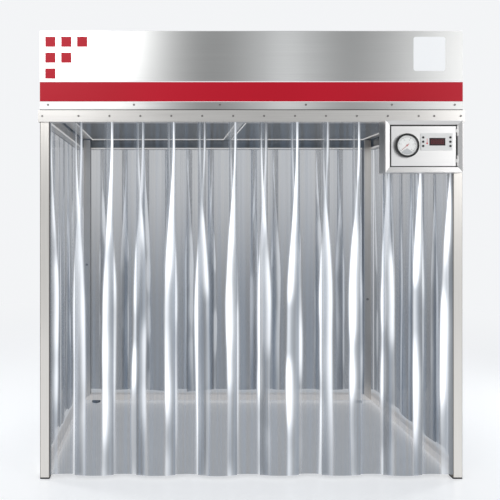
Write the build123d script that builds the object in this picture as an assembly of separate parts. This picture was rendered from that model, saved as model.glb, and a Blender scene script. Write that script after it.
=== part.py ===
from build123d import *
import math
import os

# Dispensing booth: an open-bottomed stainless frame hung on all four sides with clear PVC
# strips, under a fan and filter header, with a hinged instrument box on the front right post.
# Millimetres. +Z is up, -Y is the front. The origin is on the floor, at the middle of the
# whole footprint, instrument box included.

# Overall
WIDTH = 2180.0
DEPTH = 1300.0
CLEAR = 1.0
SHEET = 2.0

# Posts and lower rails
POST = 50.0
POST_WALL = 2.0
POST_ROUND = 5.0
POST_PAD = 8.0
RAIL_LIFT = 20.0
RAIL_HIGH = 40.0
SIDE_RAIL_WIDE = 40.0

# Hanging rails, strips and clamp bars
HANG_BOTTOM = 1840.0
HANG_HIGH = 60.0
HANG_DEEP = 40.0
STRIP_WIDE = 200.0
STRIP_PITCH = 159.0
STRIP_THICK = 2.0
STRIP_BOW = 15.0
STRIP_TUCK = 4.0
FRONT_STRIP_LIFT = 22.0
WALL_STRIP_LIFT = 70.0
BAR_THICK = 4.0

# Screws and bolts
SCREW_R = 3.0
SCREW_HEAD_R = 5.5
SCREW_HEAD_HIGH = 3.0
SCREW_LONG = 14.0
HOLE_GAP = 0.1
END_SCREW_INSET = 14.0
BOLT_R = 5.0
BOLT_HEAD_R = 9.0
BOLT_HEAD_HIGH = 6.0

# Header casing
GASKET_HIGH = 5.0
HEADER_HIGH = 403.0
LOWER_LIP = 50.0
UPPER_LIP = 15.0
FLANGE_HIGH = 38.0
FLANGE_PROUD = 1.5
FLANGE_SCREW_LIFT = 24.0
FLANGE_SCREW_PITCH = 443.0
FLANGE_SCREW_INSET = 42.0

# Red band, squares and blank label on the front of the header
STRIPE_THICK = 0.6
BAND_LIFT = 41.0
BAND_HIGH = 100.0
SQUARE = 52.0
SQUARE_GAP = 30.0
SQUARE_INSET = 28.0
SQUARE_ROWS = 3
LABEL_WIDE = 164.0
LABEL_HIGH = 176.0
LABEL_INSET = 90.0
LABEL_ROUND = 12.0

# Filters, diffusers and their tray
TRAY_SHEET = 3.0
TRAY_HIGH = 33.0
TRAY_GAP = 2.0
DIVIDER_WIDE = 60.0
BAY_SIDE_MARGIN = 120.0
BAY_FRONT_MARGIN = 75.0
BAY_REAR_MARGIN = 115.0
FILTER_LEDGE = 20.0
FILTER_HIGH = 80.0
FILTER_WALL = 15.0
FILTER_PLEAT = 25.0
MEDIA_THICK = 6.0
DIFFUSER_LAP = 8.0
DIFFUSER_SHEET = 2.0

# Fans
DECK_LIFT = 225.0
DECK_FLANGE = 20.0
FAN_X = 540.0
INLET_R = 110.0
INLET_DEEP = 24.0
IMPELLER_R = 178.0
IMPELLER_HIGH = 58.0
IMPELLER_DROP = 12.0
EYE_GAP = 3.0
BLADES = 7
BLADE_LONG = 66.0
BLADE_ANGLE = 52.0
HUB_R = 30.0
HUB_HIGH = 15.0
SHAFT_R = 6.0
SHAFT_LONG = 34.0
RUN_GAP = 0.05
MOTOR_R = 60.0
MOTOR_HIGH = 40.0
MOTOR_GAP = 3.0
STRAP_WIDE = 60.0
STRAP_THICK = 4.0
STRAP_CLEAR = 18.0
STRAP_FOOT = 30.0

# Pre-filters in the roof
PREFILTER_SIZE = 600.0
PREFILTER_HIGH = 45.0
PREFILTER_LEDGE = 15.0
PREFILTER_PLEAT = 40.0

# Feet
FOOT_INSET = 90.0
FOOT_R = 30.0
FOOT_HIGH = 12.0

# Instrument box, measured outwards from the front plane of the posts
BOX_STANDOFF = 14.0
BOX_DEPTH = 81.0
BOX_DROP = 5.0
BOX_SHEET = 2.0
BOX_OVERLAP = 5.0
FRAME_LEFT = 26.0
FRAME_RIGHT = 25.0
FRAME_TOP = 22.0
FRAME_BOTTOM = 28.0
FRAME_RIM = 4.0
FRAME_SLOPE = 7.0
FRAME_THICK = 5.0
BRACKET_SHEET = 3.0
BRACKET_HIGH = 170.0
BRACKET_REACH = 185.0

# Door of the box, its seal and hinges
DOOR_HIGH = 199.0
DOOR_GAP_SIDE = 7.0
DOOR_GAP_HINGE = 10.0
DOOR_GAP_TOP = 8.0
DOOR_GAP_BOTTOM = 5.0
DOOR_RECESS = 5.0
DOOR_SHEET = 2.0
DOOR_RIM = 6.0
SEAL_THICK = 4.0
SEAL_WIDE = 16.0
SEAL_GAP = 0.3
HINGE_HIGH = 52.0
HINGE_END = 5.0
BARREL_R = 4.5
BARREL_PROUD = 3.0
BARREL_OFFSET = 3.0
PIN_R = 2.0
LEAF = 1.5
LEAF_DEEP = 9.0

# Pressure gauge
GAUGE_MARGIN = 16.0
GAUGE_LIFT = 2.5
BEZEL_R = 60.0
BEZEL_PROUD = 14.0
CASE_R = 57.0
CASE_DEEP = 42.0
DIAL_R = 50.0
DIAL_DROP = 8.0
DIAL_THICK = 1.0
LENS_THICK = 2.0
LENS_DROP = 1.0
NEEDLE_LONG = 36.0
NEEDLE_TAIL = 13.0
NEEDLE_WIDE = 3.0
NEEDLE_THICK = 1.0
NEEDLE_HUB_R = 4.5
NEEDLE_PIN_R = 1.5
NEEDLE_PIN_LONG = 6.0
NEEDLE_GAP = 1.2
NEEDLE_ZERO = 221.0

# Controller
CONTROLLER_WIDE = 158.0
CONTROLLER_HIGH = 86.0
CONTROLLER_GAP = 11.0
CONTROLLER_MARGIN = 18.0
CONTROLLER_LIFT = 21.5
PLATE_THICK = 3.0
BODY_SHRINK = 8.0
BODY_DEEP = 45.0
WINDOW_WIDE = 80.0
WINDOW_HIGH = 38.0
WINDOW_X = 3.0
WINDOW_THICK = 2.0
WINDOW_PROUD = 0.5
BUTTON_R = 5.5
BUTTON_X = 68.0
BUTTON_PITCH = 21.5
BUTTON_PROUD = 2.5
BUTTON_LONG = 6.0
BUTTON_TRAVEL = 1.2
BUTTON_FLOOR = 0.8


def strip_edges(span):
    """Left and right edge of each strip along a wall. The first is cut to what the run leaves."""
    full = int((span - (STRIP_WIDE - STRIP_PITCH)) / STRIP_PITCH)
    right = [span / 2 - i * STRIP_PITCH for i in range(full)]
    edges = [(r - STRIP_WIDE, r) for r in reversed(right)]
    return [(-span / 2, edges[0][0] + STRIP_WIDE - STRIP_PITCH)] + edges


def bow_of(number):
    """How far a strip's middle stands out of its flat at the lower end. No two are quite alike."""
    return STRIP_BOW * (0.8 + 0.2 * math.cos(2.4 * number))


# Places worked out from the sizes
HALF = WIDTH / 2
REAR_SPAN = WIDTH - 2 * STRIP_TUCK
STRIP_STACK = 2 * STRIP_THICK
BAR_OUT = STRIP_STACK + BAR_THICK
DOOR_OUT = BOX_STANDOFF + BOX_DEPTH - DOOR_RECESS
FRONT_REACH = DOOR_OUT + BEZEL_PROUD
REAR_REACH = STRIP_STACK + max(bow_of(i) for i in range(1, len(strip_edges(REAR_SPAN)), 2))
FRONT_Y = (FRONT_REACH - REAR_REACH - DEPTH) / 2
REAR_Y = FRONT_Y + DEPTH
MID_Y = (FRONT_Y + REAR_Y) / 2
HANG_TOP = HANG_BOTTOM + HANG_HIGH
HANG_MID = (HANG_BOTTOM + HANG_TOP) / 2
HEADER_BOTTOM = HANG_TOP + GASKET_HIGH
PANEL_TOP = HEADER_BOTTOM + HEADER_HIGH
ROOF_TOP = PANEL_TOP + SHEET
TRAY_BOTTOM = HEADER_BOTTOM + SHEET
FILTER_BOTTOM = TRAY_BOTTOM + TRAY_SHEET
DECK_BOTTOM = HEADER_BOTTOM + DECK_LIFT
RAIL_TOP = RAIL_LIFT + RAIL_HIGH
REAR_POST_OUT = HALF - POST
REAR_POST_IN = REAR_POST_OUT - POST
REAR_POST_BACK = REAR_Y - HANG_DEEP
REAR_POST_FRONT = REAR_POST_BACK - POST
BAY_FRONT = FRONT_Y + BAY_FRONT_MARGIN
BAY_REAR = REAR_Y - BAY_REAR_MARGIN
BAY_IN = DIVIDER_WIDE / 2
BAY_OUT = HALF - BAY_SIDE_MARGIN
DOOR_WIDE = GAUGE_MARGIN + 2 * BEZEL_R + CONTROLLER_GAP + CONTROLLER_WIDE + CONTROLLER_MARGIN
BOX_WIDE = FRAME_LEFT + DOOR_GAP_SIDE + DOOR_WIDE + DOOR_GAP_HINGE + FRAME_RIGHT
BOX_HIGH = FRAME_TOP + DOOR_GAP_TOP + DOOR_HIGH + DOOR_GAP_BOTTOM + FRAME_BOTTOM
BOX_RIGHT = HALF - POST + BOX_OVERLAP
BOX_LEFT = BOX_RIGHT - BOX_WIDE
BOX_TOP = HANG_BOTTOM - BOX_DROP
BOX_BOTTOM = BOX_TOP - BOX_HIGH
BOX_BACK = FRONT_Y - BOX_STANDOFF
BOX_FRONT = BOX_BACK - BOX_DEPTH
OPEN_LEFT = BOX_LEFT + FRAME_LEFT
OPEN_RIGHT = BOX_RIGHT - FRAME_RIGHT
OPEN_TOP = BOX_TOP - FRAME_TOP
OPEN_BOTTOM = BOX_BOTTOM + FRAME_BOTTOM
DOOR_Y = FRONT_Y - DOOR_OUT
DOOR_LEFT = OPEN_LEFT + DOOR_GAP_SIDE
DOOR_RIGHT = OPEN_RIGHT - DOOR_GAP_HINGE
DOOR_TOP = OPEN_TOP - DOOR_GAP_TOP
DOOR_BOTTOM = OPEN_BOTTOM + DOOR_GAP_BOTTOM
SEAL_FRONT = DOOR_Y + DOOR_RIM + SEAL_GAP
SEAL_BACK = SEAL_FRONT + SEAL_THICK
HINGE_X = OPEN_RIGHT - BARREL_OFFSET
HINGE_Y = DOOR_Y - BARREL_PROUD
DOOR_MID = (DOOR_BOTTOM + DOOR_TOP) / 2
GAUGE = (DOOR_LEFT + GAUGE_MARGIN + BEZEL_R, DOOR_MID + GAUGE_LIFT)
CONTROLLER = (DOOR_RIGHT - CONTROLLER_MARGIN - CONTROLLER_WIDE / 2, DOOR_MID + CONTROLLER_LIFT)


def block(x0, x1, y0, y1, z0, z1):
    """A box between two corners."""
    return Pos((x0 + x1) / 2, (y0 + y1) / 2, (z0 + z1) / 2) * Box(x1 - x0, y1 - y0, z1 - z0)


def disc(x, z, radius, y0, y1):
    """A round bar along Y."""
    return Pos(x, (y0 + y1) / 2, z) * Rot(90, 0, 0) * Cylinder(radius, abs(y1 - y0))


def column(x, y, radius, z0, z1):
    """A round bar along Z."""
    return Pos(x, y, (z0 + z1) / 2) * Cylinder(radius, z1 - z0)


def write(name, *pieces):
    """Writes one node from one or more separate solids."""
    solids = [solid for piece in pieces for solid in piece.solids()]
    shape = solids[0] if len(solids) == 1 else Compound(children=solids)
    export_step(shape, f"parts/{name}.step")


def square_post(x0, x1, y0, y1, z0, z1):
    """A square tube standing up, with rounded long edges."""
    outer = block(x0, x1, y0, y1, z0, z1)
    outer = fillet(outer.edges().filter_by(Axis.Z), POST_ROUND)
    w = POST_WALL
    return outer - block(x0 + w, x1 - w, y0 + w, y1 - w, z0 - 1, z1 + 1)


def tube_x(x0, x1, y0, y1, z0, z1):
    """A rectangular tube along X, open at both ends."""
    w = POST_WALL
    return block(x0, x1, y0, y1, z0, z1) - block(x0 - 1, x1 + 1, y0 + w, y1 - w, z0 + w, z1 - w)


def tube_y(x0, x1, y0, y1, z0, z1):
    """A rectangular tube along Y, open at both ends."""
    w = POST_WALL
    return block(x0, x1, y0, y1, z0, z1) - block(x0 + w, x1 - w, y0 - 1, y1 + 1, z0 + w, z1 - w)


# Each wall of the booth: the middle of its strips on the frame's outer face, the turn that
# points local -Y outwards, the run of strips, their lower end and the clamp bar's length
WALLS = {
    "front": (0, FRONT_Y, 0, WIDTH - 2 * POST - 2 * CLEAR, FRONT_STRIP_LIFT, WIDTH + 2 * BAR_OUT),
    "rear": (0, REAR_Y, 180, REAR_SPAN, WALL_STRIP_LIFT, WIDTH + 2 * BAR_OUT),
    "left": (-HALF, MID_Y + POST / 2, -90, DEPTH - POST - 2 * STRIP_TUCK, WALL_STRIP_LIFT, 0),
    "right": (HALF, MID_Y + POST / 2, 90, DEPTH - POST - 2 * STRIP_TUCK, WALL_STRIP_LIFT, 0),
}


def clamp_screws(side):
    """Where the clamp screws of a wall are, along it: one in each overlap and one at each end."""
    edges = strip_edges(WALLS[side][3])
    laps = [(edges[i][1] + edges[i + 1][0]) / 2 for i in range(len(edges) - 1)]
    if side == "front":
        end = HALF - END_SCREW_INSET
        last = sum(edges[-1]) / 2
        return [-end] + laps + [last, end]
    end = WALLS[side][3] / 2 - END_SCREW_INSET
    return [-end] + laps + [end]


def on_wall(side, shape):
    """Moves a shape from a wall's own frame to its place."""
    x, y, turn = WALLS[side][:3]
    return Pos(x, y, 0) * Rot(0, 0, turn) * shape


def drills(side):
    """The clearance holes of a wall's clamp screws."""
    deep = SCREW_LONG - BAR_OUT + HOLE_GAP
    return [disc(u, HANG_MID, SCREW_R + HOLE_GAP, -BAR_OUT - 1, deep) for u in clamp_screws(side)]


def bow_section(x0, x1, y, bow, z):
    """A strip's section at one height: flat where it is clamped, an arc where it hangs free."""
    xm = (x0 + x1) / 2
    back = y + STRIP_THICK

    def edge(xa, xb, level):
        if not bow:
            return Line((xa, level, z), (xb, level, z))
        return ThreePointArc((xa, level, z), (xm, level + bow, z), (xb, level, z))

    rim = [
        edge(x0, x1, y),
        Line((x1, y, z), (x1, back, z)),
        edge(x1, x0, back),
        Line((x0, back, z), (x0, y, z)),
    ]
    return make_face(rim)


def strip(x0, x1, outer, lift, number):
    """One strip. Strips in the outer layer belly outwards and the others inwards."""
    side = -1 if outer else 1
    y = -STRIP_STACK if outer else -STRIP_THICK
    bow = side * bow_of(number) * (x1 - x0) / STRIP_WIDE
    free = HANG_BOTTOM - lift
    levels = [
        (HANG_TOP - STRIP_TUCK, 0),
        (HANG_BOTTOM, 0),
        (HANG_BOTTOM - 0.2 * free, 0.12 * bow),
        (HANG_BOTTOM - 0.55 * free, 0.7 * bow),
        (lift, bow),
    ]
    return loft([bow_section(x0, x1, y, b, z) for z, b in levels], ruled=True)


def curtain(side):
    """The strips of one wall, lapped in two layers and drilled for the clamp screws."""
    span, lift = WALLS[side][3:5]
    holes = list(zip(clamp_screws(side), drills(side)))
    made = []
    for i, (x0, x1) in enumerate(strip_edges(span)):
        piece = strip(x0, x1, i % 2, lift, i)
        for u, hole in holes:
            if x0 < u < x1:
                piece = piece - hole
        made.append(on_wall(side, piece))
    return made


def clamp_bar(side):
    """The flat bar that clamps a wall's strips. The side bars butt against the front and rear."""
    long = WALLS[side][5]
    z = (HANG_BOTTOM, HANG_TOP)
    if long:
        bar = block(-long / 2, long / 2, -BAR_OUT, -STRIP_STACK, *z)
    else:
        x0 = -(DEPTH + POST) / 2 - STRIP_STACK if side == "right" else -(DEPTH - POST) / 2 - STRIP_STACK
        bar = block(x0, x0 + DEPTH + 2 * STRIP_STACK, -BAR_OUT, -STRIP_STACK, *z)
    for hole in drills(side):
        bar = bar - hole
    return on_wall(side, bar)


def drilled(side, piece):
    """Drills a rail or post for a wall's clamp screws."""
    for hole in drills(side):
        piece = piece - on_wall(side, hole)
    return piece


def screw(x, z, out):
    """A pan-head screw in a wall's own frame, its head seated at the distance out."""
    head = disc(x, z, SCREW_HEAD_R, -out - SCREW_HEAD_HIGH, -out)
    rim = head.edges().group_by(Axis.Y)[0]
    head = chamfer(rim, SCREW_HEAD_HIGH / 2)
    return head + disc(x, z, SCREW_R, -out, -out + SCREW_LONG)


def flange_screws():
    """Where the screws of the header's lower flange are along the front."""
    first = -HALF + FLANGE_SCREW_INSET
    last = HALF - FLANGE_SCREW_INSET
    count = int((last - first - FLANGE_SCREW_PITCH / 2) / FLANGE_SCREW_PITCH) + 1
    return [first + i * FLANGE_SCREW_PITCH for i in range(count)] + [last]


def side_flange_screws():
    """Where they are along a side, about the middle of the wall's own frame."""
    reach = DEPTH / 2 - FLANGE_SCREW_INSET
    return [-reach, 0, reach]


def header_spots(side):
    """Each header face: its middle, its turn, its length and its screws."""
    places = {
        "front": (0, FRONT_Y, 0, WIDTH, flange_screws()),
        "rear": (0, REAR_Y, 180, WIDTH, flange_screws()),
        "left": (-HALF, MID_Y, -90, DEPTH, side_flange_screws()),
        "right": (HALF, MID_Y, 90, DEPTH, side_flange_screws()),
    }
    return places[side]


def on_header(side, shape):
    x, y, turn = header_spots(side)[:3]
    return Pos(x, y, 0) * Rot(0, 0, turn) * shape


def panel_screws():
    """All pan-head screws: clamp bars, header flange and box bracket."""
    made = []
    for side in WALLS:
        made += [on_wall(side, screw(u, HANG_MID, BAR_OUT)) for u in clamp_screws(side)]
        for u in header_spots(side)[4]:
            z = HEADER_BOTTOM + FLANGE_SCREW_LIFT
            made.append(on_header(side, screw(u, z, FLANGE_PROUD)))
    for x, z in bracket_screws():
        made.append(Pos(0, FRONT_Y, 0) * screw(x, z, BRACKET_SHEET))
    return made


def header_panel(side):
    """A folded panel: web, inward lips at top and bottom, and a doubled lower flange."""
    long, spots = header_spots(side)[3:]
    half = long / 2
    if side in ("front", "rear"):
        web, low, high = half, half - SHEET, half - SHEET
    else:
        web, low, high = half - SHEET, half - LOWER_LIP, half - UPPER_LIP
    z0, z1 = HEADER_BOTTOM, PANEL_TOP
    panel = block(-web, web, 0, SHEET, z0, z1)
    panel += block(-low, low, 0, LOWER_LIP, z0, z0 + SHEET)
    panel += block(-high, high, 0, UPPER_LIP, z1 - SHEET, z1)
    panel += block(-web, web, -FLANGE_PROUD, 0, z0, z0 + FLANGE_HIGH)
    z = z0 + FLANGE_SCREW_LIFT
    for u in spots:
        panel -= disc(u, z, SCREW_R + HOLE_GAP, -FLANGE_PROUD - 1, SHEET + 1)
    return on_header(side, panel)


def header_gasket():
    outer = block(-HALF, HALF, FRONT_Y, REAR_Y, HANG_TOP, HEADER_BOTTOM)
    x, y0, y1 = HALF - POST, FRONT_Y + POST, REAR_Y - POST
    return outer - block(-x, x, y0, y1, HANG_TOP - 1, HEADER_BOTTOM + 1)


def header_roof():
    """The top cover, with a tray for each pre-filter."""
    roof = block(-HALF, HALF, FRONT_Y, REAR_Y, PANEL_TOP, ROOF_TOP)
    half = PREFILTER_SIZE / 2 + CLEAR
    bottom = ROOF_TOP - PREFILTER_HIGH - SHEET
    for x in (-FAN_X, FAN_X):
        w = half + SHEET
        roof += block(x - w, x + w, MID_Y - w, MID_Y + w, bottom, PANEL_TOP)
        roof -= block(x - half, x + half, MID_Y - half, MID_Y + half, bottom + SHEET, ROOF_TOP + 1)
        i = half - PREFILTER_LEDGE
        roof -= block(x - i, x + i, MID_Y - i, MID_Y + i, bottom - 1, ROOF_TOP + 1)
    return roof


def filter_tray():
    """The tray under the filters: a ledge round two bays, with an upstand round its edge."""
    x = HALF - SHEET - TRAY_GAP
    y0, y1 = FRONT_Y + SHEET + TRAY_GAP, REAR_Y - SHEET - TRAY_GAP
    t = TRAY_SHEET
    tray = block(-x, x, y0, y1, TRAY_BOTTOM, TRAY_BOTTOM + TRAY_HIGH)
    tray -= block(-x + t, x - t, y0 + t, y1 - t, TRAY_BOTTOM + t, TRAY_BOTTOM + TRAY_HIGH + 1)
    for a, b in ((-BAY_OUT, -BAY_IN), (BAY_IN, BAY_OUT)):
        tray -= block(a, b, BAY_FRONT, BAY_REAR, TRAY_BOTTOM - 1, TRAY_BOTTOM + t + 1)
    z = HEADER_BOTTOM + FLANGE_SCREW_LIFT
    for side in WALLS:
        for u in header_spots(side)[4]:
            tray -= on_header(side, disc(u, z, SCREW_R + HOLE_GAP, 0, SCREW_LONG))
    return tray


def pleated_pack(x0, x1, y0, y1, z0, z1, wall, pleat):
    """A filter cell: a frame glued round a pleated sheet."""
    frame = block(x0, x1, y0, y1, z0, z1)
    frame -= block(x0 + wall, x1 - wall, y0 + wall, y1 - wall, z0 - 1, z1 + 1)
    a, b = x0 + wall, x1 - wall
    folds = 2 * max(2, round((b - a) / pleat))
    low, high = z0 + wall / 3, z1 - wall / 3 - MEDIA_THICK
    line = [(a + (b - a) * i / folds, high if i % 2 else low) for i in range(folds + 1)]
    top = [(x, z + MEDIA_THICK) for x, z in reversed(line)]
    profile = Plane.XZ * make_face(Polyline(*line, *top, close=True))
    media = extrude(profile, amount=y1 - y0 - 2 * wall, dir=(0, 1, 0))
    return frame + Pos(0, y0 + wall, 0) * media


def hepa_filter(sign):
    a, b = BAY_IN - FILTER_LEDGE, BAY_OUT + FILTER_LEDGE
    x0, x1 = (a, b) if sign > 0 else (-b, -a)
    y0, y1 = BAY_FRONT - FILTER_LEDGE, BAY_REAR + FILTER_LEDGE
    top = FILTER_BOTTOM + FILTER_HIGH
    return pleated_pack(x0, x1, y0, y1, FILTER_BOTTOM, top, FILTER_WALL, FILTER_PLEAT)


def prefilters():
    half = PREFILTER_SIZE / 2
    z1 = ROOF_TOP
    z0 = z1 - PREFILTER_HIGH
    y0, y1 = MID_Y - half, MID_Y + half
    return [
        pleated_pack(x - half, x + half, y0, y1, z0, z1, FILTER_WALL, PREFILTER_PLEAT)
        for x in (-FAN_X, FAN_X)
    ]


def diffuser(sign):
    """The perforated sheet under a filter, seen as the ceiling of the booth."""
    a, b = BAY_IN - DIFFUSER_LAP, BAY_OUT + DIFFUSER_LAP
    x0, x1 = (a, b) if sign > 0 else (-b, -a)
    y0, y1 = BAY_FRONT - DIFFUSER_LAP, BAY_REAR + DIFFUSER_LAP
    return block(x0, x1, y0, y1, TRAY_BOTTOM - DIFFUSER_SHEET, TRAY_BOTTOM)


def fan_deck():
    """The plate that parts the suction side from the filters, with a drawn inlet for each fan."""
    x, y0, y1 = HALF - SHEET, FRONT_Y + SHEET, REAR_Y - SHEET
    z0, z1 = DECK_BOTTOM, DECK_BOTTOM + SHEET
    deck = block(-x, x, y0, y1, z0 - DECK_FLANGE, z1)
    s = SHEET
    deck -= block(-x + s, x - s, y0 + s, y1 - s, z0 - DECK_FLANGE - 1, z0)
    for fan in (-FAN_X, FAN_X):
        deck += column(fan, MID_Y, INLET_R + SHEET, z1 - INLET_DEEP, z1)
        deck -= column(fan, MID_Y, INLET_R, z1 - INLET_DEEP - 1, z1 + 1)
    return deck


SHROUD_TOP = DECK_BOTTOM - IMPELLER_DROP
BACKPLATE_BOTTOM = SHROUD_TOP - IMPELLER_HIGH
HUB_BOTTOM = BACKPLATE_BOTTOM - HUB_HIGH
MOTOR_TOP = HUB_BOTTOM - MOTOR_GAP
MOTOR_BOTTOM = MOTOR_TOP - MOTOR_HIGH


def impeller(x):
    """A backward-inclined wheel on its shaft."""
    y = MID_Y
    wheel = column(x, y, IMPELLER_R, BACKPLATE_BOTTOM, BACKPLATE_BOTTOM + SHEET)
    wheel += column(x, y, HUB_R, HUB_BOTTOM, BACKPLATE_BOTTOM + SHEET)
    eye = INLET_R + SHEET + EYE_GAP
    shroud = column(x, y, IMPELLER_R, SHROUD_TOP - SHEET, SHROUD_TOP)
    shroud -= column(x, y, eye, SHROUD_TOP - SHEET - 1, SHROUD_TOP + 1)
    wheel += shroud
    height = IMPELLER_HIGH - SHEET
    reach = (eye + IMPELLER_R) / 2
    for i in range(BLADES):
        blade = Pos(reach, 0, 0) * Rot(0, 0, BLADE_ANGLE) * Box(BLADE_LONG, SHEET, height)
        mid = BACKPLATE_BOTTOM + SHEET / 2 + height / 2
        wheel += Pos(x, y, mid) * Rot(0, 0, i * 360 / BLADES) * blade
    return wheel + column(x, y, SHAFT_R, HUB_BOTTOM - SHAFT_LONG, HUB_BOTTOM)


def fan_motor(x):
    motor = column(x, MID_Y, MOTOR_R, MOTOR_BOTTOM, MOTOR_TOP)
    motor = chamfer(motor.edges().group_by(Axis.Z)[-1], STRAP_THICK)
    return motor - column(x, MID_Y, SHAFT_R + RUN_GAP, MOTOR_BOTTOM + SHEET, MOTOR_TOP + 1)


def fan_strap(x):
    """A folded strap that hangs the motor from the deck."""
    legs = IMPELLER_R + STRAP_CLEAR
    y0, y1 = MID_Y - STRAP_WIDE / 2, MID_Y + STRAP_WIDE / 2
    t, z0, z1 = STRAP_THICK, MOTOR_BOTTOM - STRAP_THICK, DECK_BOTTOM
    strap = block(x - legs - t, x + legs + t, y0, y1, z0, MOTOR_BOTTOM)
    for sign in (-1, 1):
        a, b = sorted((x + sign * legs, x + sign * (legs + t)))
        c, d = sorted((x + sign * legs, x + sign * (legs + t + STRAP_FOOT)))
        strap += block(a, b, y0, y1, z0, z1)
        strap += block(c, d, y0, y1, z1 - t, z1)
    return strap


def rear_post(sign):
    """A rear post, its foot mitred to the lower rail."""
    out, inn, top, low = REAR_POST_OUT, REAR_POST_IN, HANG_TOP, RAIL_LIFT
    w, slope = POST_WALL, RAIL_HIGH / POST
    skin = [(out, low), (out, top), (inn, top), (inn, low + RAIL_HIGH)]
    a, b = out - w, inn + w
    core = [(a, low + w * slope), (a, top + 1), (b, top + 1), (b, low + (POST - w) * slope)]
    y0 = REAR_POST_FRONT
    post = Pos(0, y0, 0) * prism_xz(skin, POST) - Pos(0, y0 + w, 0) * prism_xz(core, POST - 2 * w)
    return post if sign > 0 else mirror(post, about=Plane.YZ)


def prism_xz(points, deep):
    """Extrudes an outline in X and Z along +Y."""
    return extrude(Plane.XZ * make_face(Polyline(*points, close=True)), amount=deep, dir=(0, 1, 0))


def rear_lower_rail():
    """The lower rail of the rear frame, mitred at both ends."""
    out, low, w, slope = REAR_POST_OUT, RAIL_LIFT, POST_WALL, POST / RAIL_HIGH
    inn = REAR_POST_IN
    skin = [(-out, low), (out, low), (inn, RAIL_TOP), (-inn, RAIL_TOP)]
    a, b = out - w * slope, out - (RAIL_HIGH - w) * slope
    core = [(-a, low + w), (a, low + w), (b, RAIL_TOP - w), (-b, RAIL_TOP - w)]
    y0 = REAR_POST_FRONT
    rail = Pos(0, y0, 0) * prism_xz(skin, POST) - Pos(0, y0 + w, 0) * prism_xz(core, POST - 2 * w)
    for x in foot_places():
        rail -= column(x, y0 + POST / 2, BOLT_R + HOLE_GAP, low - 1, low + w + 1)
    return rail


def foot_places():
    return (-REAR_POST_OUT + FOOT_INSET, REAR_POST_OUT - FOOT_INSET)


def side_lower_rail(sign):
    """A side rail, from the back of the front post past the outside of the rear post."""
    x0, x1 = sorted((sign * REAR_POST_OUT, sign * (REAR_POST_OUT + SIDE_RAIL_WIDE)))
    rail = tube_y(x0, x1, FRONT_Y + POST, REAR_POST_BACK, RAIL_LIFT, RAIL_TOP)
    return rail


def front_post(sign):
    x0, x1 = sorted((sign * (HALF - POST), sign * HALF))
    post = drilled("front", square_post(x0, x1, FRONT_Y, FRONT_Y + POST, POST_PAD, HANG_TOP))
    if sign > 0:
        for x, z in bracket_screws():
            post -= disc(x, z, SCREW_R + HOLE_GAP, FRONT_Y - 1, FRONT_Y + SCREW_LONG)
    return post


def post_pads():
    """Moulded end caps under the front posts."""
    made = []
    for sign in (-1, 1):
        x0, x1 = sorted((sign * (HALF - POST), sign * HALF))
        pad = block(x0, x1, FRONT_Y, FRONT_Y + POST, 0, POST_PAD)
        made.append(fillet(pad.edges().filter_by(Axis.Z), POST_ROUND))
    return made


def rear_feet():
    """Levelling feet under the rear frame: a rubber pad on a stud."""
    y = REAR_POST_FRONT + POST / 2
    made = []
    for x in foot_places():
        pad = column(x, y, FOOT_R, 0, FOOT_HIGH)
        pad = chamfer(pad.edges().group_by(Axis.Z)[-1], FOOT_HIGH / 4)
        made.append(pad)
    return made


def frame_bolts():
    """Studs and nuts of the feet, bolts of the side rails and bolts in the rear posts."""
    y = REAR_POST_FRONT + POST / 2
    made = []
    for x in foot_places():
        nut = extrude(Plane.XY.offset(FOOT_HIGH) * RegularPolygon(BOLT_HEAD_R, 6), RAIL_LIFT - FOOT_HIGH)
        stud = Pos(x, y, 0) * nut + column(x, y, BOLT_R, FOOT_HIGH, RAIL_LIFT + RAIL_HIGH / 2)
        made.append(stud)
    for sign in (-1, 1):
        head = Rot(0, 90 * sign, 0) * extrude(RegularPolygon(BOLT_HEAD_R, 6), BOLT_HEAD_HIGH)
        x = sign * (REAR_POST_OUT + SIDE_RAIL_WIDE)
        made.append(Pos(x, y, RAIL_LIFT + RAIL_HIGH / 2) * head)
    face = Plane.XZ.offset(-REAR_POST_FRONT)
    for x, z in post_bolts():
        head = extrude(face * Pos(x, z) * RegularPolygon(BOLT_HEAD_R, 6), BOLT_HEAD_HIGH)
        made.append(head)
    return made


POST_BOLT_LEFT = 1000.0
POST_BOLT_RIGHT = 750.0


def post_bolts():
    middle = (REAR_POST_OUT + REAR_POST_IN) / 2
    return ((-middle, POST_BOLT_LEFT), (middle, POST_BOLT_RIGHT))


def fascia_stripes():
    """The red band across the header's front and a stair of plain squares in its top corner."""
    y0, y1 = FRONT_Y - STRIPE_THICK, FRONT_Y
    low = HEADER_BOTTOM + BAND_LIFT
    made = [block(-HALF, HALF, y0, y1, low, low + BAND_HIGH)]
    step = SQUARE + SQUARE_GAP
    for row in range(SQUARE_ROWS):
        z = PANEL_TOP - SQUARE_INSET - SQUARE - row * step
        for i in range(SQUARE_ROWS - row):
            x = -HALF + SQUARE_INSET + i * step
            made.append(block(x, x + SQUARE, y0, y1, z, z + SQUARE))
    return made


def label_plate():
    """A blank rounded label at the top right of the header."""
    x1 = HALF - LABEL_INSET
    z1 = PANEL_TOP - (PANEL_TOP - HEADER_BOTTOM - BAND_LIFT - BAND_HIGH - LABEL_HIGH) / 3
    plate = block(x1 - LABEL_WIDE, x1, FRONT_Y - STRIPE_THICK, FRONT_Y, z1 - LABEL_HIGH, z1)
    return fillet(plate.edges().filter_by(Axis.Y), LABEL_ROUND)


def bracket_screws():
    """The screws that hold the box bracket to the right post."""
    x = (BOX_RIGHT + HALF) / 2
    mid = (BOX_TOP + BOX_BOTTOM) / 2
    return ((x, mid - BRACKET_HIGH / 3), (x, mid + BRACKET_HIGH / 3))


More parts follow.
